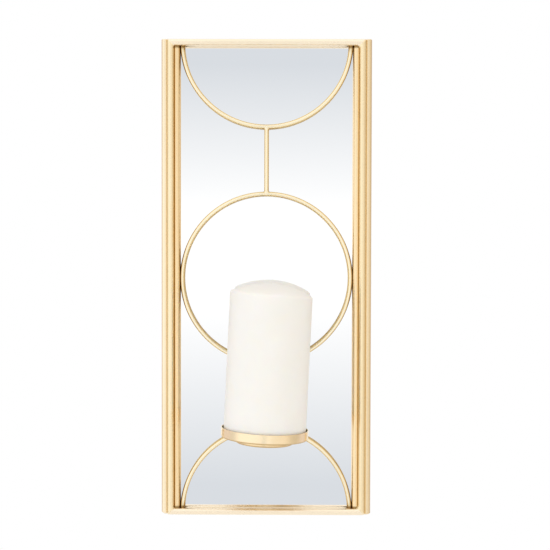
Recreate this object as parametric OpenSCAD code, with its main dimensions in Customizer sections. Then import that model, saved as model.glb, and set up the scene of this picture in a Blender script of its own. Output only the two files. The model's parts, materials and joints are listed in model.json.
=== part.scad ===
// Wall sconce for one pillar candle.
// A tall frame of round rods stands in front of a mirror. Half circles and a full circle of
// thin wire lie on the glass, and a round tray on a bracket holds the candle.
// X runs to the right, Y runs back into the wall, Z runs up, and the front faces -Y.
// The origin is midway between the two hanging holes, on the wall.

/* [Frame] */
// Overall width over the outer rods
frame_w = 204.6; // [190:0.2:230]
// Overall height over the top and bottom rails
frame_h = 463.6; // [440:0.2:520]
// Diameter of every frame rod
rod_d = 6.5; // [6.3:0.1:6.5]
// Sideways distance between neighbouring rods on one side
rod_pitch = 5.8; // [5.7:0.1:5.8]
// How far the outer and inner rods stand behind the front rods
rod_setback = 2.8; // [2.6:0.1:2.8]

/* [Wire pattern] */
// Diameter of the thin wire
wire_d = 4.5; // [4:0.1:5]
// How far each half circle's centre lies from the frame's top or bottom edge
arc_inset = 2.3; // [2:0.1:3]

/* [Mirror and back] */
// Thickness of the mirror glass
glass_t = 2; // [2:0.5:3]
// Thickness of the backing board
board_t = 3; // [3:0.5:4]
// Depth of the open recess between the board and the wall
recess = 6; // [5.8:0.1:8]
// Thickness of the strips that box in the back
strip_t = 2; // [1.5:0.1:2.5]
// Gap round the edge of the glass and the board
edge_gap = 0.35; // [0.3:0.05:1]

/* [Hanging] */
// Distance between the two hanging holes
hole_spacing = 158; // [150:1:160]
// Height of the frame's top edge above the hanging holes
hole_drop = 18; // [16:0.5:20]
// Diameter of a hanging hole
hole_d = 8; // [6:0.5:10]
// Side of a square hanger plate
plate_w = 26; // [24:1:30]
// Thickness of a hanger plate
plate_t = 1.5; // [1.2:0.1:1.6]
// Diameter of a wall bumper where it sticks to the board
bumper_d = 12; // [8:1:16]

/* [Tray] */
// Outer diameter of the tray
tray_d = 82; // [80.5:0.5:83]
// Height of the tray's rim
tray_h = 9; // [6:0.5:14]
// Sheet thickness of the tray and of the pan under it
sheet_t = 1; // [0.8:0.1:1.2]
// Distance from the wall to the tray's centre
tray_reach = 60.5; // [60.5:0.5:70]
// Sideways place of the tray's centre
tray_side = -0.9; // [-2:0.1:2]
// Sideways lean of the bracket, with the tray and the candle on it
tray_lean = 2.7; // [0:0.1:4]
// Outer diameter of the pan
pan_d = 54; // [44:1:60]
// Height of the pan
pan_h = 5; // [4:0.5:8]

/* [Bracket] */
// Width of the bracket strip
arm_w = 16; // [14:1:20]
// Thickness of the bracket strip
arm_t = 3; // [2.5:0.5:3]
// Diameter of the tray screw
screw_d = 4; // [3:0.5:5]

/* [Candle] */
// Diameter of the candle
candle_d = 77.5; // [70:0.5:77.5]
// Height of the candle to the top of its dome
candle_h = 144; // [80:1:160]
// Height of the dome
dome_h = 10; // [4:0.5:14]
// Length of wick above the dome
wick_out = 2; // [2:0.5:8]

/* [Hidden] */
$fn = 96;

gold = [0.93, 0.78, 0.52];
bright_gold = [0.96, 0.84, 0.62];
glass_grey = [0.88, 0.91, 0.93];
board_black = [0.12, 0.12, 0.12];
steel = [0.72, 0.73, 0.75];
wax = [0.97, 0.95, 0.89];
cotton = [0.99, 0.98, 0.95];
rubber_grey = [0.25, 0.25, 0.26];

rod_r = rod_d / 2;
wire_r = wire_d / 2;
weld_bite = 0.05;
mid_z = hole_drop - frame_h / 2;

// Places across the width, measured from the middle
outer_rod_x = frame_w / 2 - rod_r;
upright_x = outer_rod_x - rod_pitch;
inner_rod_x = upright_x - rod_pitch;
rail_z = frame_h / 2 - rod_r;

// Places in depth, from the wall forwards
board_back = -recess;
glass_back = board_back - board_t;
glass_front = glass_back - glass_t;
wire_y = glass_front - wire_r - weld_bite;
back_rod_y = glass_front - rod_r - weld_bite;
front_rod_y = back_rod_y - rod_setback;
strip_back = -plate_t;
strip_front = front_rod_y + rod_r - rod_d / 26;

// The circles touch the inner rods
reach_x = sqrt(pow(rod_r + wire_r, 2) - pow(wire_y - back_rod_y, 2));
ring_r = inner_rod_x - reach_x + weld_bite;
arc_z = frame_h / 2 - arc_inset;

// Inside of the strips that box in the back
inside_w = 2 * upright_x - strip_t;
inside_h = 2 * rail_z - strip_t;
end_gap = 0.25;
arc_trim = asin((arc_z - inside_h / 2 + end_gap) / ring_r);

tab_w = 10;
tab_reach = 12;
tab_t = 1;
tab_stop = 2;
side_tab_pitch = 150;
plate_corner_r = 6;
bumper_inset = 17;
bumper_slope = 1;

// Heights of the bracket group, measured from the tray's underside
tray_drop = 1;
tray_z = ring_r - arc_z - tray_drop;
dimple_r = 6.5;
dimple_h = 1.6;
corner_r = 1.4;
screw_clear = 0.2;
head_r = 3.8;
head_h = 1.4;
tongue = 6;
bend_r = 3;
arm_lug_h = 7.5;
thread_gap = 0.02;

candle_gap = 0.3;
wick_r = 1.1;
bore_gap = 0.05;
tab_disc_r = 10;
tab_disc_t = 0.4;
tab_neck_r = 2;
tab_neck_h = 4;
tab_recess = 0.8;

// Rod along X whose ends are mitred at 45 degrees, longer on its +Z side
module mitred_rod(half_length) {
    side = 2 * rod_r;
    intersection() {
        rotate([0, 90, 0])
            cylinder(d = rod_d, h = 2 * (half_length + rod_d), center = true);
        rotate([90, 0, 0])
            linear_extrude(height = 2 * rod_d, center = true)
                polygon([
                    [-half_length + side, -side],
                    [half_length - side, -side],
                    [half_length + side, side],
                    [-half_length - side, side]
                ]);
    }
}

module at_middle() {
    translate([0, 0, mid_z]) children();
}

module rail_line(sign) {
    translate([0, front_rod_y, sign * rail_z])
        rotate([0, 90, 0])
            cylinder(d = rod_d, h = frame_w, center = true);
}

module rail(sign) {
    translate([0, front_rod_y, sign * rail_z])
        rotate([0, sign > 0 ? 0 : 180, 0])
            mitred_rod(upright_x);
}

module upright(sign) {
    translate([sign * upright_x, front_rod_y, 0])
        rotate([0, sign * 90, 0])
            mitred_rod(rail_z);
}

module outer_rod(sign) {
    translate([sign * outer_rod_x, back_rod_y, 0])
        cylinder(d = rod_d, h = frame_h, center = true);
}

module inner_rod(sign) {
    difference() {
        translate([sign * inner_rod_x, back_rod_y, 0])
            cylinder(d = rod_d, h = inside_h - 2 * end_gap, center = true);
        rail_line(1);
        rail_line(-1);
    }
}

// Circle of wire in the XZ plane, or the part of it from one angle to another
module wire_circle(from = 0, sweep = 360) {
    translate([0, wire_y, 0])
        rotate([90, 0, 0])
            rotate([0, 0, from])
                rotate_extrude(angle = sweep)
                    translate([ring_r, 0])
                        circle(d = wire_d);
}

module half_circle(sign) {
    from = arc_trim + (sign > 0 ? 180 : 0);
    difference() {
        translate([0, 0, sign * arc_z])
            wire_circle(from, 180 - 2 * arc_trim);
        rail_line(sign);
    }
}

// Upright wire between the ring and one half circle, coped to fit round both
module link(sign) {
    top = arc_z - ring_r;
    difference() {
        translate([0, wire_y, sign * (top + ring_r) / 2])
            cylinder(d = wire_d, h = top - ring_r, center = true);
        wire_circle();
        translate([0, 0, sign * arc_z]) wire_circle();
    }
}

module side_strip(sign) {
    depth = strip_back - strip_front;
    translate([sign * upright_x, strip_front + depth / 2, 0])
        cube([strip_t, depth, 2 * rail_z + strip_t], center = true);
}

module end_strip(sign) {
    depth = strip_back - strip_front;
    translate([0, strip_front + depth / 2, sign * rail_z])
        cube([inside_w, depth, strip_t], center = true);
}

module panel(front, thickness) {
    translate([0, front + thickness / 2, 0])
        cube([inside_w - 2 * edge_gap, thickness, inside_h - 2 * edge_gap], center = true);
}

// L-shaped tab that holds the board, drawn on a strip whose inner face is at x = 0
module tab() {
    translate([-tab_reach, board_back, -tab_w / 2])
        cube([tab_reach, tab_t, tab_w]);
    translate([-tab_t, board_back, -tab_w / 2])
        cube([tab_t, recess - tab_stop, tab_w]);
}

module hanger_plate(sign) {
    side = upright_x + strip_t / 2;
    top = rail_z + strip_t / 2;
    low_x = side - plate_w;
    low_z = top - plate_w;
    mirror([sign > 0 ? 0 : 1, 0, 0])
        rotate([90, 0, 0])
            linear_extrude(height = plate_t)
                difference() {
                    union() {
                        translate([low_x + plate_corner_r, low_z])
                            square([plate_w - plate_corner_r, plate_w]);
                        translate([low_x, low_z + plate_corner_r])
                            square([plate_w, plate_w - plate_corner_r]);
                        translate([low_x + plate_corner_r, low_z + plate_corner_r])
                            circle(plate_corner_r);
                    }
                    translate([hole_spacing / 2, -mid_z]) circle(d = hole_d);
                }
}

// Everything on the bracket leans about the place where the bracket meets the wire
module on_bracket() {
    translate([tray_side, -tray_reach, mid_z + tray_z])
        rotate([0, tray_lean, 0])
            children();
}

// Section of a round dish with a rounded bottom corner, from its axis outwards
module dish_section(radius, height, corner) {
    square([radius - corner, height]);
    translate([0, corner]) square([radius, height - corner]);
    translate([radius - corner, corner]) circle(corner);
}

module dish(radius, height, corner) {
    rotate_extrude()
        difference() {
            dish_section(radius, height - sheet_t / 2, corner);
            translate([0, sheet_t])
                dish_section(radius - sheet_t, height, corner - sheet_t);
        }
    translate([0, 0, height - sheet_t / 2])
        rotate_extrude()
            translate([radius - sheet_t / 2, 0])
                circle(d = sheet_t);
}

module tray_shape() {
    difference() {
        union() {
            dish(tray_d / 2, tray_h, corner_r);
            translate([0, 0, -dimple_h])
                cylinder(r = dimple_r + sheet_t, h = dimple_h + sheet_t);
        }
        translate([0, 0, sheet_t - dimple_h])
            cylinder(r = dimple_r, h = dimple_h + sheet_t);
        cylinder(d = screw_d + 2 * screw_clear, h = 4 * dimple_h, center = true);
    }
}

module pan_shape() {
    difference() {
        translate([0, 0, -pan_h])
            rotate_extrude()
                difference() {
                    dish_section(pan_d / 2, pan_h, corner_r);
                    translate([0, sheet_t])
                        dish_section(pan_d / 2 - sheet_t, pan_h, corner_r - sheet_t);
                }
        translate([0, 0, -pan_h])
            cylinder(d = screw_d + 2 * screw_clear, h = 4 * sheet_t, center = true);
    }
}

// Side view of the bracket strip, with the tray's axis at x = 0 and the wall towards +x
module arm_section() {
    back = tray_reach + wire_y - wire_r + weld_bite;
    low = -pan_h - arm_t;
    outer = bend_r + arm_t;
    square_from = back - outer;
    translate([0, low]) square([square_from, arm_t]);
    translate([back - arm_t, low + outer]) square([arm_t, arm_lug_h - low - outer]);
    translate([square_from, low + outer])
        intersection() {
            difference() {
                circle(outer);
                circle(bend_r);
            }
            translate([0, -outer]) square([outer, outer]);
        }
}

module arm_shape() {
    difference() {
        union() {
            rotate([90, 0, 90])
                linear_extrude(height = arm_w, center = true)
                    arm_section();
            translate([0, 0, -pan_h - arm_t])
                intersection() {
                    cylinder(d = arm_w, h = arm_t);
                    translate([-arm_w / 2, -tongue, 0]) cube([arm_w, 2 * tongue, arm_t]);
                }
        }
        translate([0, 0, -pan_h - arm_t / 2])
            cylinder(d = screw_d + 2 * thread_gap, h = 2 * arm_t, center = true);
    }
}

module screw_shape() {
    head_z = sheet_t - dimple_h;
    translate([0, 0, head_z]) cylinder(r = head_r, h = head_h);
    translate([0, 0, -pan_h - arm_t]) cylinder(d = screw_d, h = head_z + pan_h + arm_t + head_h / 2);
}

module on_tray() {
    on_bracket() translate([0, 0, sheet_t + candle_gap]) children();
}

module candle_shape() {
    radius = candle_d / 2;
    dome_r = (radius * radius + dome_h * dome_h) / (2 * dome_h);
    difference() {
        intersection() {
            cylinder(r = radius, h = candle_h);
            translate([0, 0, candle_h - dome_r]) sphere(dome_r);
        }
        translate([0, 0, -1]) cylinder(r = wick_r + bore_gap, h = candle_h + 2);
        translate([0, 0, -1]) cylinder(r = tab_disc_r + bore_gap, h = tab_recess + 1);
        translate([0, 0, -1]) cylinder(r = tab_neck_r + bore_gap, h = tab_recess + tab_neck_h + 1);
    }
}

module wick_tab_shape() {
    difference() {
        union() {
            cylinder(r = tab_disc_r, h = tab_disc_t);
            cylinder(r = tab_neck_r, h = tab_neck_h);
        }
        translate([0, 0, -1]) cylinder(r = wick_r + bore_gap, h = tab_neck_h + 2);
    }
}

module top_rail() { color(gold) at_middle() rail(1); }
module bottom_rail() { color(gold) at_middle() rail(-1); }
module left_upright() { color(gold) at_middle() upright(-1); }
module right_upright() { color(gold) at_middle() upright(1); }
module left_outer_rod() { color(gold) at_middle() outer_rod(-1); }
module right_outer_rod() { color(gold) at_middle() outer_rod(1); }
module left_inner_rod() { color(gold) at_middle() inner_rod(-1); }
module right_inner_rod() { color(gold) at_middle() inner_rod(1); }
module upper_arc() { color(gold) at_middle() half_circle(1); }
module lower_arc() { color(gold) at_middle() half_circle(-1); }
module ring() { color(gold) at_middle() wire_circle(); }
module upper_link() { color(gold) at_middle() link(1); }
module lower_link() { color(gold) at_middle() link(-1); }
module top_back_strip() { color(gold) at_middle() end_strip(1); }
module bottom_back_strip() { color(gold) at_middle() end_strip(-1); }
module left_back_strip() { color(gold) at_middle() side_strip(-1); }
module right_back_strip() { color(gold) at_middle() side_strip(1); }
module mirror_glass() { color(glass_grey) at_middle() panel(glass_front, glass_t); }
module backing_board() { color(board_black) at_middle() panel(glass_back, board_t); }
module left_hanger_plate() { color(gold) at_middle() hanger_plate(-1); }
module right_hanger_plate() { color(gold) at_middle() hanger_plate(1); }
module tray_arm() { color(gold) on_bracket() arm_shape(); }
module support_pan() { color(bright_gold) on_bracket() pan_shape(); }
module tray() { color(bright_gold) on_bracket() tray_shape(); }
module tray_screw() { color(steel) on_bracket() screw_shape(); }
module candle() { color(wax) on_tray() candle_shape(); }
module wick_tab() { color(steel) on_tray() wick_tab_shape(); }

module retaining_tabs() {
    color(steel)
        at_middle() {
            for (sign = [-1, 1], step = [-1, 0, 1])
                translate([sign * inside_w / 2, 0, step * side_tab_pitch])
                    rotate([0, sign > 0 ? 0 : 180, 0])
                        tab();
            for (sign = [-1, 1])
                translate([0, 0, sign * inside_h / 2])
                    rotate([0, -sign * 90, 0])
                        tab();
        }
}

// Rubber bumpers on the board's lower corners, as deep as the recess
module wall_bumpers() {
    color(rubber_grey)
        at_middle()
            for (sign = [-1, 1])
                translate([sign * (inside_w / 2 - bumper_inset), board_back, bumper_inset - inside_h / 2])
                    rotate([-90, 0, 0])
                        cylinder(d1 = bumper_d, d2 = bumper_d - 2 * bumper_slope, h = recess);
}

module wick() {
    color(cotton)
        on_tray()
            cylinder(r = wick_r, h = candle_h + wick_out);
}

top_rail();
bottom_rail();
left_upright();
right_upright();
left_outer_rod();
right_outer_rod();
left_inner_rod();
right_inner_rod();
upper_arc();
upper_link();
ring();
lower_link();
lower_arc();
top_back_strip();
bottom_back_strip();
left_back_strip();
right_back_strip();
mirror_glass();
backing_board();
retaining_tabs();
left_hanger_plate();
right_hanger_plate();
wall_bumpers();
tray_arm();
support_pan();
tray();
tray_screw();
candle();
wick();
wick_tab();
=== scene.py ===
import json
import math

import bmesh
import bpy
from mathutils import Matrix, Vector, noise


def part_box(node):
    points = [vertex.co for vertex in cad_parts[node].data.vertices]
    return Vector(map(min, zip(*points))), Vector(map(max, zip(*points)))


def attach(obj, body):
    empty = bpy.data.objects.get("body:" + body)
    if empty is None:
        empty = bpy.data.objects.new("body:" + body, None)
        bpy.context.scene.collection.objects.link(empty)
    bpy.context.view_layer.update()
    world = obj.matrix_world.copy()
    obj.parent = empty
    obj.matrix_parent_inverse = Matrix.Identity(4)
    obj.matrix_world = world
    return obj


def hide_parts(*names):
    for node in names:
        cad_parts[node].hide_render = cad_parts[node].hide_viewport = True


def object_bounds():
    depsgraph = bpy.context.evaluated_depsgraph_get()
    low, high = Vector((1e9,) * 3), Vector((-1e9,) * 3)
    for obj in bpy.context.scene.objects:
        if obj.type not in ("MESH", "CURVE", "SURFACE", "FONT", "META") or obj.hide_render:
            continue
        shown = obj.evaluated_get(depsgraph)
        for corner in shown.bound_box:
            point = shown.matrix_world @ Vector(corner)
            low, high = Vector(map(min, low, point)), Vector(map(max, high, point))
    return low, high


# Looks for a wall sconce that holds one pillar candle. All lengths are in metres.

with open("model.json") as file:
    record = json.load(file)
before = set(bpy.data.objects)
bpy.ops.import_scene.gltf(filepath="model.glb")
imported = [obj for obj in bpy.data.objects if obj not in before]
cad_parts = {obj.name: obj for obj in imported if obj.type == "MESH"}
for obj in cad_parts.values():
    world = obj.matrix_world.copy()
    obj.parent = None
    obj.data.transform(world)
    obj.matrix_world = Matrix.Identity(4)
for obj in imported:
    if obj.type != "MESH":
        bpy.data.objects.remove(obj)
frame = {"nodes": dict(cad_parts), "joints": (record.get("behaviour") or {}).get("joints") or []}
cad_lo, cad_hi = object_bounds()
MM = 0.001

# Camera, measured from the wall plane and the middle of the frame
CAMERA_DISTANCE = 1100 * MM
CAMERA_RIGHT = 15.1 * MM
CAMERA_RISE = 31.1 * MM
CAMERA_LENS = 72.8
CAMERA_PITCH = math.radians(1.48)
CAMERA_YAW = math.radians(0.35)
CAMERA_ROLL = math.radians(0.12)

# Frame and wire
OUTER_CORNERS = {135: 0.9 * MM, 45: 1.1 * MM, -45: 1.8 * MM, -135: 1.8 * MM}
INNER_CORNERS = {135: 1.2 * MM, 45: 3.2 * MM, -45: 4.0 * MM, -135: 1.8 * MM}
ROD_TOP_EASE = 0.8 * MM
ROD_FOOT_EASE = 1.4 * MM
FOOT_SLANT = {"left": 0.30, "right": 0.16}
FOOT_REACH = 4.0 * MM
WELD_FLARE = 0.9 * MM
ROUND_STEPS = 40
CORNER_STEPS = 10
WIRE_STEPS = 24
CIRCLE_STEPS = 240
LATHE_STEPS = 160

# Flat parts
EDGE_EASE = 0.35 * MM
BOARD_EASE = 0.3 * MM
TAB_EASE = 0.2 * MM
ARM_EASE = 0.4 * MM
SILVER_DEPTH = 1.3 * MM
BUMPER_NOSE = 1.4 * MM
BUMPER_TAPER = 1.0 * MM
BUMPER_FOOT = 0.8 * MM

# Tray group, measured from the tray's underside along the leaning axis
SHEET = 1.0 * MM
CANDLE_GAP = 0.3 * MM
TRAY_HEIGHT = 9.0 * MM
DIMPLE_RADIUS = 6.5 * MM
DIMPLE_DEPTH = 1.6 * MM
PAN_RADIUS = 27.0 * MM
PAN_HEIGHT = 5.0 * MM
DISH_CORNER = 1.4 * MM
SCREW_RADIUS = 2.0 * MM
SCREW_HOLE = 2.2 * MM
HEAD_RADIUS = 3.8 * MM
HEAD_HEIGHT = 1.4 * MM
HEAD_ROUND = 0.8
SCREW_CHAMFER = 0.4 * MM
CROSS_SIZE = (4.2 * MM, 0.75 * MM, 1.6 * MM)
ARM_THICKNESS = 3.0 * MM

# Candle, measured from its base
CANDLE_RADIUS = 38.75 * MM
CANDLE_HEIGHT = 144.0 * MM
DOME_HEIGHT = 10.0 * MM
SHOULDER = 4.0 * MM
DOME_SKEW = 0.037
DENT = 0.14 * MM
BASE_EASE = 1.0 * MM
TAB_POCKET = (10.0 * MM, 0.9 * MM)
WICK_BORE = 1.25 * MM
BORE_MOUTH = 12.0 * MM
WICK_WELL = (4.5 * MM, 0.7 * MM)
WICK_OUT = 0.2 * MM
STRAND = 0.58 * MM
STRAND_ORBIT = 0.5 * MM
STRAND_PITCH = 7.0 * MM
STRAND_TIP = 1.2 * MM

# Soft card opposite the mirror, as angles to the side
CARD_LEFT = 0.0135
CARD_HALF = 0.0785
CARD_FADE = 0.012

# Tones of the card: white at eye level, cool grey above and below, and paler again further out
CARD_WHITE = (1.04, 1.04, 1.04)
CARD_GREY = (0.70, 0.73, 0.77)
CARD_PALE = (0.87, 0.88, 0.89)
CARD_EDGE = (0.96, 0.96, 0.96)

# Floor, below the lowest point of the sconce
FLOOR_DROP = 1.15
FLOOR_RADIUS = 4.0

# Painted light and shade on the gold plating: crease shade steps, painted shadow where rods and wires
# meet the rails, painted shade on the tray's lower edge, and a painted highlight on the wires' fronts
WHITE = (1.0, 1.0, 1.0)
NARROW = (0.06, 0.38, 0.72)
RAIL_SHADOW_START = 2.6 * MM
RAIL_SHADOW_FULL = 1.2 * MM
RAIL_SHADOW_TONE = (0.34, 0.215, 0.085, 1.0)
EDGE_SHADE_REACH = 1.6 * MM
EDGE_SHADE_TONE = (0.62, 0.52, 0.36, 1.0)
WIRE_FACING_LIGHT = [
    (0.00, WHITE),
    (0.30, (0.55, 0.46, 0.28)),
    (0.80, (0.91, 0.85, 0.70)),
    (0.97, (1.0, 1.06, 1.20)),
]


# ---------------------------------------------------------------- shader helpers

def add(tree, kind, inputs=None, **settings):
    """Adds a shader node. An input that is a socket is linked, and any other is a value."""
    made = tree.nodes.new("ShaderNode" + kind)
    for name, value in settings.items():
        setattr(made, name, value)
    for name, value in (inputs or {}).items():
        if isinstance(value, bpy.types.NodeSocket):
            tree.links.new(value, made.inputs[name])
        else:
            made.inputs[name].default_value = value
    return made


def ramp(tree, factor, stops):
    """Colour for a factor, from stops of (place, (r, g, b))."""
    made = add(tree, "ValToRGB", {"Fac": factor})
    elements = made.color_ramp.elements
    while len(elements) < len(stops):
        elements.new(1.0)
    for element, (place, colour) in zip(elements, stops):
        element.position = place
        element.color = (*colour, 1.0)
    return made.outputs["Color"]


def blend(tree, factor, one, other, how="MIX"):
    """Mixes two colours, or multiplies the first by the second."""
    mixed = add(tree, "Mix", {0: factor, 6: one, 7: other}, data_type="RGBA", blend_type=how)
    return mixed.outputs[2]


def maths(tree, kind, first, second=None):
    """Result of a Math node of the given kind with one or two values."""
    values = {0: first} if second is None else {0: first, 1: second}
    return add(tree, "Math", values, operation=kind).outputs[0]


def coordinate(tree, vector, axis):
    """One coordinate of a vector."""
    return add(tree, "SeparateXYZ", {"Vector": vector}).outputs[axis]


def spread(tree, factor, low, high):
    """Maps a factor from 0..1 to low..high."""
    return add(tree, "MapRange", {"Value": factor, "To Min": low, "To Max": high}).outputs["Result"]


def between(tree, value, start, end):
    """Maps a value from start..end to 0..1."""
    return add(tree, "MapRange", {"Value": value, "From Min": start, "From Max": end}).outputs["Result"]


def noise_at(tree, place, scale, detail=3.0, stretch=None):
    """Noise in object space. Stretch squeezes it along each axis first."""
    if stretch:
        place = add(tree, "Mapping", {"Vector": place, "Scale": stretch}).outputs["Vector"]
    return add(tree, "TexNoise", {"Vector": place, "Scale": scale, "Detail": detail}).outputs["Fac"]


def new_material(name, **constants):
    """Material with a Principled shader whose plain sockets are set, and its object coordinates."""
    made = bpy.data.materials.new(name)
    made.use_nodes = True
    tree = made.node_tree
    shader = tree.nodes["Principled BSDF"]
    for socket, value in constants.items():
        shader.inputs[socket.replace("_", " ")].default_value = value
    return made, tree, shader, add(tree, "TexCoord").outputs["Object"]


def join(tree, shader, **sockets):
    """Links sources to the shader's sockets, which are named with underscores for spaces."""
    for name, source in sockets.items():
        tree.links.new(source, shader.inputs[name.replace("_", " ")])


def bump(tree, height, distance):
    """Normal of a surface that rises by up to a distance where the height is 1."""
    made = add(tree, "Bump", {"Height": height, "Distance": distance, "Strength": 1.0})
    return made.outputs["Normal"]


# ---------------------------------------------------------------- materials

def painted_crease_shade(tree, colour, crease):
    """Multiplies a colour by two tones towards its creases: painted shade where less light reaches in.

    A crease is its reach, its deepest tone, its outer tone, and how open the surface is at each of
    the two tones and at the bare colour.
    """
    reach, deep, warm, steps = crease
    open_sky = add(tree, "AmbientOcclusion", {"Distance": reach}, samples=16).outputs["AO"]
    tone = ramp(tree, open_sky, list(zip(steps, (deep, warm, WHITE))))
    return blend(tree, 1.0, colour, tone, "MULTIPLY")


def painted_rail_shadow(tree, place, colour):
    """Painted shadow: browns a rod or wire just below where it is welded to a rail, where the rail's
    shade falls.
    """
    off = maths(tree, "SUBTRACT", coordinate(tree, place, "Z"), MIDDLE.z)
    along = maths(tree, "ABSOLUTE", off)
    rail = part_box("top_rail")[0].z - MIDDLE.z
    near = between(tree, along, rail - RAIL_SHADOW_START, rail - RAIL_SHADOW_FULL)
    return blend(tree, near, colour, RAIL_SHADOW_TONE)


def painted_wire_highlight(tree, colour):
    """Painted highlight on a wire's front and painted shade on its sides, by which way its surface faces.
    """
    side = coordinate(tree, add(tree, "NewGeometry").outputs["Normal"], "Y")
    facing = maths(tree, "MULTIPLY", side, -1.0)
    return blend(tree, 1.0, colour, ramp(tree, facing, WIRE_FACING_LIGHT), "MULTIPLY")


def plated(name, light, dark, sheen, grain, crease, rail_shadowed=False, wire=False):
    """Gold plating: slow drift of tone, uneven sheen and the faint ripple of plated steel, with painted
    shade in its creases, and on request a painted highlight on a wire's front and a painted shadow where
    it meets a rail.
    """
    made, tree, shader, place = new_material(name, Metallic=1.0)
    drift = noise_at(tree, place, 28.0)
    patches = noise_at(tree, place, 160.0, 4.0)
    ripple = noise_at(tree, place, grain, 2.0)
    colour = painted_crease_shade(tree, ramp(tree, drift, [(0.3, dark), (0.7, light)]), crease)
    # Painted highlight on the wire's front and painted shade on its sides.
    if wire:
        colour = painted_wire_highlight(tree, colour)
    # Painted shadow where a rod or wire meets a rail.
    if rail_shadowed:
        colour = painted_rail_shadow(tree, place, colour)
    join(
        tree, shader,
        Base_Color=colour,
        Roughness=spread(tree, patches, sheen - 0.05, sheen + 0.05),
        Normal=bump(tree, ripple, 0.0015 * MM),
    )
    return made


def spun(name, light, dark, sheen, crease, underside):
    """Polished plating on a spun dish: fine rings round its axis, painted shade in its creases, and
    painted shade darkening its lower edge.
    """
    made, tree, shader, place = new_material(name, Metallic=1.0)
    local = add(
        tree, "Mapping",
        {"Vector": place, "Location": LEANING.translation, "Rotation": LEANING.to_euler()},
        vector_type="TEXTURE",
    ).outputs["Vector"]
    rings = add(
        tree, "TexWave", {"Vector": local, "Scale": 900.0, "Distortion": 0.6, "Detail": 2.0},
        wave_type="RINGS", rings_direction="Z",
    )
    height = coordinate(tree, local, "Z")
    edge = between(tree, height, underside + EDGE_SHADE_REACH, underside + EDGE_SHADE_REACH / 2)
    bare = ramp(tree, noise_at(tree, place, 40.0), [(0.3, dark), (0.7, light)])
    edge_shaded = blend(tree, edge, bare, EDGE_SHADE_TONE, "MULTIPLY")
    join(
        tree, shader,
        Base_Color=painted_crease_shade(tree, edge_shaded, crease),
        Roughness=spread(tree, noise_at(tree, place, 220.0), sheen - 0.02, sheen + 0.02),
        Normal=bump(tree, rings.outputs["Fac"], 0.002 * MM),
    )
    return made


def silvered_glass():
    """Mirror silvering, with a trace of unevenness."""
    made, tree, shader, place = new_material("silvered_glass", Metallic=1.0)
    cloud = noise_at(tree, place, 12.0)
    join(
        tree, shader,
        Base_Color=ramp(tree, cloud, [(0.2, (0.985, 0.987, 0.988)), (0.8, (0.992, 0.994, 0.994))]),
        Roughness=spread(tree, noise_at(tree, place, 60.0), 0.0, 0.012),
    )
    return made


def painted_board():
    """Black paint rolled over fibreboard, with a trace of the fibres showing through."""
    made, tree, shader, place = new_material("painted_board")
    fibres = noise_at(tree, place, 900.0, 6.0, stretch=(1.0, 1.0, 0.35))
    patches = noise_at(tree, place, 30.0)
    join(
        tree, shader,
        Base_Color=ramp(tree, patches, [(0.3, (0.027, 0.026, 0.025)), (0.7, (0.036, 0.034, 0.032))]),
        Roughness=spread(tree, fibres, 0.6, 0.85),
        Normal=bump(tree, fibres, 0.12 * MM),
    )
    return made


def zinc():
    """Zinc plating with a crystal pattern."""
    made, tree, shader, place = new_material("zinc_plate", Metallic=1.0)
    cells = add(tree, "TexVoronoi", {"Vector": place, "Scale": 500.0}).outputs["Color"]
    grey = add(tree, "RGBToBW", {"Color": cells}).outputs["Val"]
    join(
        tree, shader,
        Base_Color=ramp(tree, grey, [(0.2, (0.56, 0.57, 0.6)), (0.8, (0.68, 0.68, 0.7))]),
        Roughness=spread(tree, grey, 0.28, 0.42),
        Normal=bump(tree, noise_at(tree, place, 700.0), 0.01 * MM),
    )
    return made


def rubber():
    """Matt black rubber with a fine grain."""
    made, tree, shader, place = new_material("bumper_rubber")
    grain = noise_at(tree, place, 1500.0, 4.0)
    join(
        tree, shader,
        Base_Color=ramp(tree, grain, [(0.3, (0.03, 0.03, 0.032)), (0.7, (0.055, 0.055, 0.058))]),
        Roughness=spread(tree, grain, 0.7, 0.9),
        Normal=bump(tree, grain, 0.03 * MM),
    )
    return made


def wax():
    """Smooth ivory wax: light sinks in, and the skin is very slightly mottled; painted warm shade darkens
    it in creases, as at the tray's rim.
    """
    made, tree, shader, place = new_material(
        "ivory_wax",
        Subsurface_Weight=0.35,
        Subsurface_Radius=(1.0, 0.8, 0.55),
        Subsurface_Scale=6 * MM,
        IOR=1.44,
    )
    mottle = noise_at(tree, place, 55.0, 5.0)
    skin = noise_at(tree, place, 420.0, 3.0)
    join(
        tree, shader,
        Base_Color=painted_crease_shade(
            tree, ramp(tree, mottle, [(0.25, (0.955, 0.925, 0.87)), (0.75, (0.97, 0.945, 0.895))]),
            (5.0 * MM, (0.75, 0.62, 0.40), (0.97, 0.93, 0.84), (0.10, 0.50, 0.85)),
        ),
        Roughness=spread(tree, skin, 0.42, 0.56),
        Normal=bump(tree, skin, 0.03 * MM),
    )
    return made


def cotton():
    """Waxed white cotton yarn, with fibres along the strands."""
    made, tree, shader, place = new_material("waxed_cotton", Sheen_Weight=0.2)
    fibres = noise_at(tree, place, 3500.0, 3.0, stretch=(1.0, 1.0, 0.2))
    join(
        tree, shader,
        Base_Color=ramp(tree, fibres, [(0.3, (0.93, 0.92, 0.89)), (0.7, (0.98, 0.975, 0.95))]),
        Roughness=spread(tree, fibres, 0.6, 0.85),
        Normal=bump(tree, fibres, 0.05 * MM),
    )
    return made


# ---------------------------------------------------------------- mesh helpers

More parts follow.
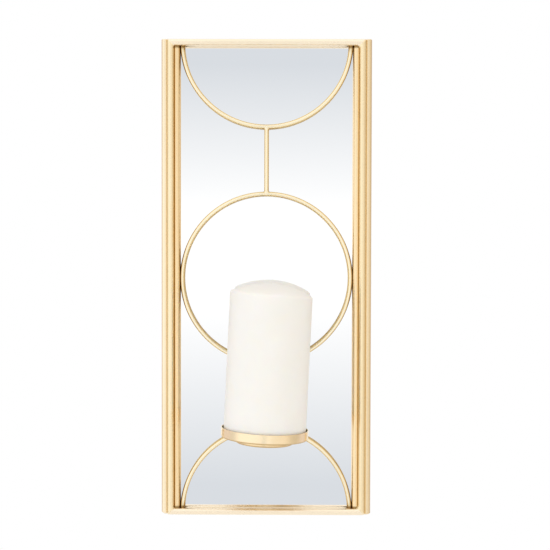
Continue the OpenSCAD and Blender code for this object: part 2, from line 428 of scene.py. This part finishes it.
def piece(name, mesh, surface, body="sconce", stands_for=(), place=None):
    """Turns a bmesh into a shaded piece that rides on a body and stands for CAD nodes."""
    bmesh.ops.recalc_face_normals(mesh, faces=mesh.faces)
    data = bpy.data.meshes.new(name)
    mesh.to_mesh(data)
    mesh.free()
    if place:
        data.transform(place)
    data.shade_smooth()
    data.set_sharp_from_angle(angle=math.radians(35))
    data.materials.append(surface)
    made = bpy.data.objects.new(name, data)
    bpy.context.scene.collection.objects.link(made)
    level = made.modifiers.new("level_faces", "WEIGHTED_NORMAL")
    level.weight, level.keep_sharp = 100, True
    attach(made, body)
    if stands_for:
        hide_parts(*stands_for)
    return made


def bridge(mesh, rings, closed=False):
    """Joins rings of the same number of vertices with faces. A ring may be one vertex repeated."""
    pairs = list(zip(rings, rings[1:]))
    if closed:
        pairs.append((rings[-1], rings[0]))
    for low, high in pairs:
        for i in range(len(low)):
            j = (i + 1) % len(low)
            corners = list(dict.fromkeys([low[i], low[j], high[j], high[i]]))
            if len(corners) > 2:
                mesh.faces.new(corners)


def arc(centre, radius, start, end, steps):
    """Points of an arc in (radius, height), with angles in degrees from the radius axis."""
    turns = [math.radians(start + (end - start) * i / steps) for i in range(steps + 1)]
    return [(centre[0] + radius * math.cos(t), centre[1] + radius * math.sin(t)) for t in turns]


def lathe(outline, steps=LATHE_STEPS, closed=False, wobble=None):
    """Turns an outline of (radius, height) points about the local Z axis."""
    mesh = bmesh.new()
    rings = []
    for radius, height in outline:
        if radius < 1e-7:
            rings.append([mesh.verts.new((0, 0, height))] * steps)
            continue
        turns = [2 * math.pi * i / steps for i in range(steps)]
        points = [Vector((radius * math.cos(t), radius * math.sin(t), height)) for t in turns]
        rings.append([mesh.verts.new(wobble(p) if wobble else p) for p in points])
    bridge(mesh, rings, closed)
    return mesh


def at_centre(node):
    """Matrix that moves the local axis onto a node's middle in X and Y, at height zero."""
    lo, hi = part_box(node)
    return Matrix.Translation(((lo.x + hi.x) / 2, (lo.y + hi.y) / 2, 0))


# ---------------------------------------------------------------- frame

def frame_side(name, node, start_angle):
    """One side of the front frame between two mitres, with ground welds blending its corners.

    Each line along the rod is part of a rectangle with round corners: sharp outside, wide inside.
    """
    rail_lo, rail_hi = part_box("top_rail")
    right_lo, right_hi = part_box("right_upright")
    rod = (rail_hi.z - rail_lo.z) / 2
    half_width = (right_lo.x + right_hi.x) / 2
    half_height = (rail_lo.z + rail_hi.z) / 2 - MIDDLE.z
    depth = (rail_lo.y + rail_hi.y) / 2
    mesh = bmesh.new()
    lines = []
    for step in range(ROUND_STEPS):
        turn = 2 * math.pi * step / ROUND_STEPS
        out = rod * math.cos(turn)
        inwards = (1 - math.cos(turn)) / 2
        lines.append([])
        for first, diagonal in ((start_angle, start_angle), (start_angle - 45, start_angle - 90)):
            which = diagonal if diagonal > -180 else diagonal + 360
            corner = OUTER_CORNERS[which] * (1 - inwards) + INNER_CORNERS[which] * inwards
            pivot = math.radians(diagonal)
            x = math.copysign(half_width + out - corner, math.cos(pivot))
            z = math.copysign(half_height + out - corner, math.sin(pivot))
            for point_x, point_z in arc((x, z), corner, first, first - 45, CORNER_STEPS):
                place = (point_x, depth - rod * math.sin(turn), MIDDLE.z + point_z)
                lines[-1].append(mesh.verts.new(place))
    rings = [list(ring) for ring in zip(*lines)]
    bridge(mesh, rings)
    mesh.faces.new(rings[0])
    mesh.faces.new(rings[-1])
    surface = UPRIGHT_GOLD_SIDE_LIT.get(node.split("_")[0], RAIL_GOLD)
    return piece(name, mesh, surface, stands_for=[node])


def outer_rod(side):
    """Full-height bar with eased ends and a foot filed at a slant, highest on the outside."""
    node = side + "_outer_rod"
    lo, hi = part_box(node)
    radius = (hi.x - lo.x) / 2
    foot, top = ROD_FOOT_EASE, ROD_TOP_EASE
    outline = [(0, lo.z)]
    outline += arc((radius - foot, lo.z + foot), foot, -90, 0, 8)
    outline += arc((radius - top, hi.z - top), top, 0, 90, 6)
    outline += [(0, hi.z)]
    outwards = -1 if side == "left" else 1

    def filed(point):
        near = max(0.0, 1 - (point.z - lo.z) / FOOT_REACH)
        rise = FOOT_SLANT[side] * (radius + outwards * point.x) * near
        return point + Vector((0, 0, rise))

    mesh = lathe(outline, ROUND_STEPS, wobble=filed)
    return piece(
        node + "_bar", mesh, OUTER_GOLD_SIDE_LIT[side], stands_for=[node], place=at_centre(node)
    )


# ---------------------------------------------------------------- wire

def wire_size():
    """Radius of the wire, radius of the circles to the wire's middle, and the wire's depth."""
    lo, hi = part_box("ring")
    wire = (hi.y - lo.y) / 2
    return wire, (hi.z - lo.z) / 2 - wire, (hi.y + lo.y) / 2


def circle_wire(name, node, centre_z, start=0.0, sweep=360.0):
    """Wire bent to a circle, or to the part of it from one angle on."""
    wire, radius, depth = wire_size()
    whole = sweep == 360.0
    steps = round(CIRCLE_STEPS * sweep / 360)
    mesh = bmesh.new()
    rings = []
    for step in range(steps if whole else steps + 1):
        turn = math.radians(start + sweep * step / steps)
        ring = []
        for around in range(WIRE_STEPS):
            angle = 2 * math.pi * around / WIRE_STEPS
            reach = radius + wire * math.cos(angle)
            y = depth + wire * math.sin(angle)
            ring.append(mesh.verts.new((reach * math.cos(turn), y, centre_z + reach * math.sin(turn))))
        rings.append(ring)
    bridge(mesh, rings, closed=whole)
    if not whole:
        mesh.faces.new(rings[0])
        mesh.faces.new(rings[-1])
    return piece(name, mesh, WIRE_GOLD, stands_for=[node])


def link_wire(name, node):
    """Short straight wire whose ends flare into the two circles, as a small weld does."""
    wire, _, depth = wire_size()
    lo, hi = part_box(node)
    low, high = lo.z + wire, hi.z - wire
    rings = []
    mesh = bmesh.new()
    flare = [(WELD_FLARE * (1 - math.sin(t)), WELD_FLARE * (1 - math.cos(t)))
             for t in (math.radians(a) for a in range(0, 91, 15))]
    levels = [(low - wire, WELD_FLARE)]
    levels += [(low + rise, width) for width, rise in flare]
    levels += [(high - rise, width) for width, rise in reversed(flare)]
    levels += [(high + wire, WELD_FLARE)]
    for height, extra in levels:
        ring = []
        for around in range(WIRE_STEPS):
            angle = 2 * math.pi * around / WIRE_STEPS
            x = (wire + extra) * math.cos(angle)
            ring.append(mesh.verts.new((x, depth + wire * math.sin(angle), height)))
        rings.append(ring)
    bridge(mesh, rings)
    mesh.faces.new(rings[0])
    mesh.faces.new(rings[-1])
    return piece(name, mesh, WIRE_GOLD, stands_for=[node])


def make_wires():
    """The ring, the two half circles cut off at the rails, and the two links."""
    wire, radius, _ = wire_size()
    ring_lo, ring_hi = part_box("ring")
    circle_wire("ring_wire", "ring", (ring_lo.z + ring_hi.z) / 2)
    for name, first in (("upper_arc", 180.0), ("lower_arc", 0.0)):
        lo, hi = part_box(name)
        upper = name == "upper_arc"
        centre = lo.z + radius + wire if upper else hi.z - radius - wire
        short = centre - hi.z if upper else lo.z - centre
        trim = math.degrees(math.asin(short / radius))
        circle_wire(name + "_wire", name, centre, first + trim, 180 - 2 * trim)
    for name in ("upper_link", "lower_link"):
        link_wire(name + "_wire", name)


# ---------------------------------------------------------------- flat parts

def eased(node, surface, width=EDGE_EASE):
    """The node's own shape with its sharp edges slightly rounded."""
    mesh = bmesh.new()
    mesh.from_mesh(frame["nodes"][node].data)
    bmesh.ops.remove_doubles(mesh, verts=mesh.verts, dist=1e-6)
    bmesh.ops.dissolve_limit(
        mesh, angle_limit=math.radians(1), verts=mesh.verts, edges=mesh.edges
    )
    sharp = [e for e in mesh.edges if len(e.link_faces) == 2 and e.calc_face_angle() > math.radians(40)]
    bmesh.ops.bevel(
        mesh, geom=sharp, offset=width, segments=3, profile=0.5, affect="EDGES", clamp_overlap=True
    )
    return piece(node + "_eased", mesh, surface, stands_for=[node])


def slab(lo, hi, ease):
    """Flat panel with eased edges."""
    mesh = bmesh.new()
    bmesh.ops.create_cube(mesh, size=1.0)
    for vertex in mesh.verts:
        for axis in range(3):
            vertex.co[axis] = lo[axis] if vertex.co[axis] < 0 else hi[axis]
    bmesh.ops.bevel(
        mesh, geom=mesh.edges[:], offset=ease, segments=2, profile=0.5, affect="EDGES", clamp_overlap=True
    )
    return mesh


def make_mirror():
    """The silvering, as deep as it looks from the front behind clear glass."""
    lo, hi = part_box("mirror_glass")
    pane = slab(lo + Vector((0, SILVER_DEPTH, 0)), hi, EDGE_EASE)
    piece("mirror_pane", pane, silvered_glass(), stands_for=["mirror_glass"])


def make_bumpers():
    """Moulded rubber feet with a domed face towards the wall."""
    lo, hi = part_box("wall_bumpers")
    radius = (hi.z - lo.z) / 2
    height = hi.y - lo.y
    nose = BUMPER_NOSE
    outline = [(0, 0), (radius, 0), (radius, BUMPER_FOOT)]
    outline += arc((radius - BUMPER_TAPER - nose, height - nose), nose, 10, 90, 8)
    outline += [(0, height)]
    both = bmesh.new()
    for x in (lo.x + radius, hi.x - radius):
        foot = lathe(outline, 48)
        towards_wall = Matrix.Rotation(math.radians(-90), 4, "X")
        foot.transform(Matrix.Translation((x, lo.y, lo.z + radius)) @ towards_wall)
        holder = bpy.data.meshes.new("foot")
        foot.to_mesh(holder)
        foot.free()
        both.from_mesh(holder)
        bpy.data.meshes.remove(holder)
    piece("wall_bumpers_moulded", both, rubber(), stands_for=["wall_bumpers"])


# ---------------------------------------------------------------- tray group

def leaning_frame():
    """Matrix from heights above the tray's underside to the leaning bracket group."""
    axis = Vector(frame["joints"][0]["axis"]).normalized()
    lo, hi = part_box("wick")
    radius = (hi.y - lo.y) / 2
    base = Vector((lo.x + radius * axis.z, (lo.y + hi.y) / 2, lo.z + radius * axis.x))
    turn = Vector((0, 0, 1)).rotation_difference(axis).to_matrix().to_4x4()
    return Matrix.Translation(base - axis * (SHEET + CANDLE_GAP)) @ turn


def make_tray():
    """Spun dish with a rounded rim, a rounded corner and a dimple for the screw."""
    lo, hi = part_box("tray")
    radius = (hi.y - lo.y) / 2
    floor = SHEET
    dip = SHEET - DIMPLE_DEPTH
    soft = 0.5 * MM
    outline = [(SCREW_HOLE, -DIMPLE_DEPTH)]
    outline += arc((DIMPLE_RADIUS + SHEET - soft, -DIMPLE_DEPTH + soft), soft, -90, 0, 5)
    outline += [(DIMPLE_RADIUS + SHEET, 0)]
    outline += arc((radius - DISH_CORNER, DISH_CORNER), DISH_CORNER, -90, 0, 10)
    outline += arc((radius - SHEET / 2, TRAY_HEIGHT - SHEET / 2), SHEET / 2, 0, 180, 12)
    outline += arc((radius - DISH_CORNER, DISH_CORNER), DISH_CORNER - SHEET, 0, -90, 8)
    outline += arc((DIMPLE_RADIUS + soft, floor - soft), soft, 90, 180, 5)
    outline += [(DIMPLE_RADIUS, dip), (SCREW_HOLE, dip)]
    mesh = lathe(outline, closed=True)
    piece("tray_spun", mesh, POLISHED, stands_for=["tray"], place=LEANING)


def make_pan():
    """Small spun pan that backs the tray."""
    low = -PAN_HEIGHT
    outline = [(SCREW_HOLE, low)]
    outline += arc((PAN_RADIUS - DISH_CORNER, low + DISH_CORNER), DISH_CORNER, -90, 0, 10)
    outline += [(PAN_RADIUS, 0), (PAN_RADIUS - SHEET, 0)]
    outline += arc((PAN_RADIUS - DISH_CORNER, low + DISH_CORNER), DISH_CORNER - SHEET, 0, -90, 8)
    outline += [(SCREW_HOLE, low + SHEET)]
    mesh = lathe(outline, closed=True)
    piece("support_pan_spun", mesh, PAN_GOLD, stands_for=["support_pan"], place=LEANING)


def make_screw():
    """Pan-head screw with a cross recess and a chamfered tip."""
    seat = SHEET - DIMPLE_DEPTH
    tip = -PAN_HEIGHT - ARM_THICKNESS
    top = seat + HEAD_HEIGHT
    crown = HEAD_HEIGHT * HEAD_ROUND
    outline = [(0, tip), (SCREW_RADIUS - SCREW_CHAMFER, tip), (SCREW_RADIUS, tip + SCREW_CHAMFER)]
    outline += [(SCREW_RADIUS, seat), (HEAD_RADIUS, seat)]
    outline += arc((HEAD_RADIUS - crown, top - crown), crown, 0, 90, 8)
    outline += [(0, top)]
    body = lathe(outline, 64)
    made = piece("tray_screw_head", body, ZINC, stands_for=["tray_screw"])
    slots = bmesh.new()
    for quarter in (0, 90):
        size = Matrix.Diagonal((*CROSS_SIZE, 1.0))
        turn = Matrix.Rotation(math.radians(quarter), 4, "Z")
        bmesh.ops.create_cube(slots, size=1.0, matrix=Matrix.Translation((0, 0, top)) @ turn @ size)
    cutter_mesh = bpy.data.meshes.new("cross")
    slots.to_mesh(cutter_mesh)
    slots.free()
    cutter = bpy.data.objects.new("cross", cutter_mesh)
    bpy.context.scene.collection.objects.link(cutter)
    cut = made.modifiers.new("cross", "BOOLEAN")
    cut.operation, cut.object, cut.use_self = "DIFFERENCE", cutter, True
    bpy.context.view_layer.update()
    done = bpy.data.meshes.new_from_object(made.evaluated_get(bpy.context.evaluated_depsgraph_get()))
    made.modifiers.remove(cut)
    done.transform(LEANING)
    made.data = done
    bpy.data.objects.remove(cutter)
    return made


# ---------------------------------------------------------------- candle

def hand_poured(point):
    """Slight dents in the side, and a dome that is a little lower on the right than on the left."""
    dome = max(0.0, (point.z - (CANDLE_HEIGHT - DOME_HEIGHT - SHOULDER)) / (DOME_HEIGHT + SHOULDER))
    edge = min(1.0, math.hypot(point.x, point.y) / CANDLE_RADIUS)
    dent = DENT * (0.5 + 0.5 * noise.noise(point * 22.0))
    shape = Vector((point.x, point.y, 0)).normalized() * dent
    skew = DOME_SKEW * point.x * min(1.0, dome * 3.0) * edge
    return point - shape - Vector((0, 0, skew + dent * dome))


def make_candle():
    """Pillar with a soft base edge, a rounded shoulder, a domed top and a well round the wick."""
    radius, height, rise = CANDLE_RADIUS, CANDLE_HEIGHT, DOME_HEIGHT
    ball = (radius**2 + rise**2) / (2 * rise)
    ball_z = height - ball
    across = radius - SHOULDER
    shoulder_z = ball_z + math.sqrt((ball - SHOULDER) ** 2 - across**2)
    lean = math.degrees(math.atan2(shoulder_z - ball_z, across))
    base, bore = BASE_EASE, WICK_BORE
    well, well_depth = WICK_WELL
    pocket, pocket_height = TAB_POCKET
    outline = [(bore, pocket_height), (pocket, pocket_height), (pocket, 0)]
    outline += arc((radius - base, base), base, -90, 0, 6)
    rows = 60
    outline += [(radius, base + (shoulder_z - base) * i / rows) for i in range(1, rows)]
    outline += arc((across, shoulder_z), SHOULDER, 0, lean, 10)
    top = arc((0, ball_z), ball, lean, 90, 40)[1:]
    for reach, level in top:
        if reach > bore:
            dip = well_depth * max(0.0, 1 - (reach / well) ** 2) ** 2
            outline.append((reach, level - dip))
    outline += [(bore, height - well_depth), (bore, height - BORE_MOUTH)]
    mesh = lathe(outline, steps=192, closed=True, wobble=hand_poured)
    place = LEANING @ Matrix.Translation((0, 0, SHEET + CANDLE_GAP))
    piece("candle_wax", mesh, wax(), body="loose_candle", stands_for=["candle"], place=place)


def make_wick():
    """Three twisted strands of cotton."""
    orbit = STRAND_ORBIT
    length = CANDLE_HEIGHT + WICK_OUT
    rings_per_turn, sides = 14, 10
    count = math.ceil(length / STRAND_PITCH * rings_per_turn)
    mesh = bmesh.new()
    for which in range(3):
        rings = []
        for step in range(count + 1):
            height = length * step / count
            turn = 2 * math.pi * (height / STRAND_PITCH + which / 3)
            closing = math.sqrt(max(0.15, min(1.0, (length - height) / STRAND_TIP)))
            centre = Vector((orbit * math.cos(turn), orbit * math.sin(turn), height))
            ring = []
            for side in range(sides):
                angle = 2 * math.pi * side / sides
                out = Vector((math.cos(angle), math.sin(angle), 0)) * STRAND * closing
                ring.append(mesh.verts.new(centre + out))
            rings.append(ring)
        bridge(mesh, rings)
        mesh.faces.new(rings[0])
        mesh.faces.new(rings[-1])
    place = LEANING @ Matrix.Translation((0, 0, SHEET + CANDLE_GAP))
    piece("wick_braid", mesh, cotton(), body="loose_candle", stands_for=["wick"], place=place)


# ---------------------------------------------------------------- stage

def make_studio():
    """Pale studio: a soft card opposite the mirror, and plain walls that are warmer on the right.

    The card is bright at eye level and grey above and below. The backdrop that is seen directly is white.
    """
    world = bpy.data.worlds.new("studio")
    bpy.context.scene.world = world
    world.use_nodes = True
    tree = world.node_tree
    tree.nodes.clear()
    way = add(tree, "SeparateXYZ", {"Vector": add(tree, "TexCoord").outputs["Generated"]})
    level = between(tree, way.outputs["Z"], -0.5, 0.5)
    card = ramp(tree, level, [
        (0.00, CARD_EDGE),
        (0.16, CARD_PALE),
        (0.24, CARD_GREY),
        (0.29, CARD_GREY),
        (0.45, CARD_WHITE),
        (0.53, CARD_WHITE),
        (0.66, CARD_GREY),
        (0.71, CARD_GREY),
        (0.82, CARD_PALE),
        (1.00, CARD_EDGE),
    ])
    walls = ramp(tree, level, [
        (0.0, (1.02, 1.02, 1.02)),
        (0.3, (1.04, 1.04, 1.04)),
        (0.5, (1.08, 1.08, 1.08)),
        (0.7, (0.98, 0.98, 0.98)),
        (1.0, (1.14, 1.14, 1.14)),
    ])
    ahead = maths(tree, "MULTIPLY", way.outputs["Y"], -1.0)
    turn = maths(tree, "ARCTAN2", way.outputs["X"], ahead)
    aside = maths(tree, "ABSOLUTE", maths(tree, "ADD", turn, CARD_LEFT))
    past = between(tree, aside, CARD_HALF, CARD_HALF + CARD_FADE)
    front = blend(tree, past, card, walls)
    balance = ramp(tree, between(tree, turn, -math.pi, math.pi), [
        (0.00, (0.78, 0.72, 0.72)),
        (0.20, (0.78, 0.71, 0.71)),
        (0.24, (0.72, 0.70, 0.68)),
        (0.27, (0.80, 0.79, 0.78)),
        (0.305, (1.06, 1.05, 1.04)),
        (0.40, (1.05, 1.05, 1.05)),
        (0.47, (1.00, 1.00, 1.00)),
        (0.542, (1.00, 1.00, 1.00)),
        (0.556, (0.91, 0.89, 0.85)),
        (0.66, (0.90, 0.83, 0.73)),
        (0.715, (0.66, 0.60, 0.51)),
        (0.77, (0.62, 0.57, 0.49)),
        (0.81, (0.78, 0.71, 0.71)),
        (1.00, (0.78, 0.72, 0.72)),
    ])
    overhead = between(tree, maths(tree, "ABSOLUTE", way.outputs["Z"]), 0.6, 1.0)
    shade = blend(tree, overhead, balance, (*WHITE, 1.0))
    light = blend(tree, 1.0, front, shade, "MULTIPLY")
    room = add(tree, "Background", {"Color": light, "Strength": 1.0})
    backdrop = add(tree, "Background", {"Color": (*WHITE, 1.0), "Strength": 1.0})
    seen = add(tree, "LightPath").outputs["Is Camera Ray"]
    both = add(tree, "MixShader", {0: seen, 1: room.outputs[0], 2: backdrop.outputs[0]})
    add(tree, "OutputWorld", {"Surface": both.outputs[0]})
    bpy.context.scene.view_settings.view_transform = "Standard"


def make_floor():
    """Round pale floor well below the sconce."""
    mesh = bmesh.new()
    bmesh.ops.create_circle(mesh, cap_ends=True, segments=96, radius=FLOOR_RADIUS)
    data = bpy.data.meshes.new("floor")
    mesh.to_mesh(data)
    mesh.free()
    floor = bpy.data.objects.new("floor", data)
    floor.location = (MIDDLE.x, MIDDLE.y, cad_lo.z - FLOOR_DROP)
    bpy.context.scene.collection.objects.link(floor)
    made, tree, shader, place = new_material("pale_floor", Roughness=0.8)
    join(tree, shader, Base_Color=ramp(tree, noise_at(tree, place, 3.0), [
        (0.3, (0.94, 0.965, 0.975)), (0.7, (0.955, 0.98, 0.99))]))
    data.materials.append(made)


def make_camera():
    """Camera in front of the sconce, a little above and to the right of its middle."""
    data = bpy.data.cameras.new("camera")
    data.lens, data.sensor_width = CAMERA_LENS, 36.0
    camera = bpy.data.objects.new("camera", data)
    bpy.context.scene.collection.objects.link(camera)
    place = Matrix.Translation((MIDDLE.x + CAMERA_RIGHT, -CAMERA_DISTANCE, MIDDLE.z + CAMERA_RISE))
    aim = Matrix.Rotation(CAMERA_YAW, 4, "Z") @ Matrix.Rotation(math.pi / 2 - CAMERA_PITCH, 4, "X")
    camera.matrix_world = place @ aim @ Matrix.Rotation(CAMERA_ROLL, 4, "Z")
    bpy.context.scene.camera = camera


# ---------------------------------------------------------------- build

def middle_of_frame():
    """Middle of the frame in X and Z, on the wall."""
    lo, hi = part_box("left_outer_rod")
    other_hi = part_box("right_outer_rod")[1]
    return Vector(((lo.x + other_hi.x) / 2, 0, (lo.z + hi.z) / 2))


MIDDLE = middle_of_frame()
LEANING = leaning_frame()
# Left and right copies are painted light: the right copy is darker and warmer, and its painted crease
# tones lift or deepen the gaps differently by side.
OUTER_GOLD_SIDE_LIT = {
    side: plated(
        side + "_side_lit_pale_gold", light, dark, 0.22, 700.0,
        (4.0 * MM, deep, warm, NARROW),
    )
    for side, light, dark, deep, warm in (
        ("left", (1.0, 0.845, 0.61), (0.99, 0.825, 0.585), (0.72, 0.92, 1.45), (0.88, 0.98, 1.20)),
        ("right", (0.875, 0.705, 0.455), (0.865, 0.69, 0.44), (1.05, 1.28, 1.90), (1.03, 1.12, 1.36)),
    )
}
# Its dark crease tone is painted shadow under the rail where the inner rods and wires meet it.
RAIL_GOLD = plated(
    "rail_gold", (1.0, 0.865, 0.665), (0.99, 0.85, 0.645), 0.25, 700.0,
    (4.0 * MM, (0.30, 0.20, 0.09), (0.93, 0.89, 0.84), (0.16, 0.38, 0.72)),
)
# Left and right copies are painted light: the right copy is darker, and the left copy has deeper painted
# shade in its creases.
UPRIGHT_GOLD_SIDE_LIT = {
    side: plated(
        side + "_side_lit_satin_gold", light, dark, 0.25, 700.0,
        (4.0 * MM, deep, warm, NARROW),
    )
    for side, light, dark, deep, warm in (
        ("left", (0.995, 0.84, 0.565), (0.985, 0.82, 0.54), (0.50, 0.40, 0.26), (0.92, 0.80, 0.60)),
        ("right", (0.96, 0.80, 0.52), (0.95, 0.78, 0.50), (0.88, 0.84, 0.76), (0.98, 0.94, 0.88)),
    )
}
# Left and right copies differ only in painted crease shade: darker on the left, where the gap next to the
# upright lies in shade.
INNER_GOLD_SIDE_LIT = {
    side: plated(
        side + "_side_lit_deep_gold", (0.98, 0.775, 0.485), (0.97, 0.755, 0.46), 0.22, 700.0,
        (6.0 * MM, deep, warm, steps), rail_shadowed=True,
    )
    for side, deep, warm, steps in (
        ("left", (0.36, 0.28, 0.17), (0.82, 0.71, 0.52), (0.15, 0.60, 1.0)),
        ("right", (0.48, 0.44, 0.35), (0.90, 0.85, 0.76), (0.06, 0.45, 0.85)),
    )
}
# The wire's broad crease tone is painted shade on its sides; it also carries painted shadow at the rails
# and a painted highlight on its front.
WIRE_GOLD = plated(
    "wire_gold", (1.0, 0.85, 0.56), (0.99, 0.83, 0.535), 0.18, 700.0,
    (7.0 * MM, (0.38, 0.29, 0.16), (0.68, 0.59, 0.42), (0.12, 0.75, 0.97)), rail_shadowed=True, wire=True,
)
STRIP_GOLD = plated(
    "strip_gold", (0.98, 0.80, 0.54), (0.95, 0.77, 0.51), 0.38, 500.0,
    (4.0 * MM, (0.60, 0.52, 0.42), (0.90, 0.84, 0.76), NARROW),
)
# The tray's and pan's golds carry painted crease shade and painted shade on their lower edges.
POLISHED = spun(
    "polished_gold", (1.0, 0.83, 0.57), (0.99, 0.81, 0.54), 0.22,
    (4.0 * MM, (0.50, 0.40, 0.28), (0.92, 0.86, 0.76), NARROW), 0.0,
)
PAN_GOLD = spun(
    "shaded_gold", (1.0, 0.83, 0.57), (0.99, 0.81, 0.54), 0.22,
    (14.0 * MM, (0.55, 0.46, 0.33), (0.88, 0.81, 0.69), (0.20, 0.58, 1.0)), -PAN_HEIGHT,
)
ZINC = zinc()

make_camera()
make_studio()
make_floor()

frame_side("top_rail_tube", "top_rail", 135)
frame_side("right_upright_tube", "right_upright", 45)
frame_side("bottom_rail_tube", "bottom_rail", -45)
frame_side("left_upright_tube", "left_upright", -135)
for side in ("left", "right"):
    outer_rod(side)
    frame["nodes"][side + "_inner_rod"].data.materials[0] = INNER_GOLD_SIDE_LIT[side]
make_wires()
for edge in ("top", "bottom", "left", "right"):
    eased(edge + "_back_strip", STRIP_GOLD)
make_mirror()
eased("backing_board", painted_board(), BOARD_EASE)
eased("retaining_tabs", ZINC, TAB_EASE)
for side in ("left", "right"):
    eased(side + "_hanger_plate", STRIP_GOLD)
make_bumpers()
eased("tray_arm", RAIL_GOLD, ARM_EASE)
make_pan()
make_tray()
make_screw()
make_candle()
make_wick()
frame["nodes"]["wick_tab"].data.materials[0] = ZINC
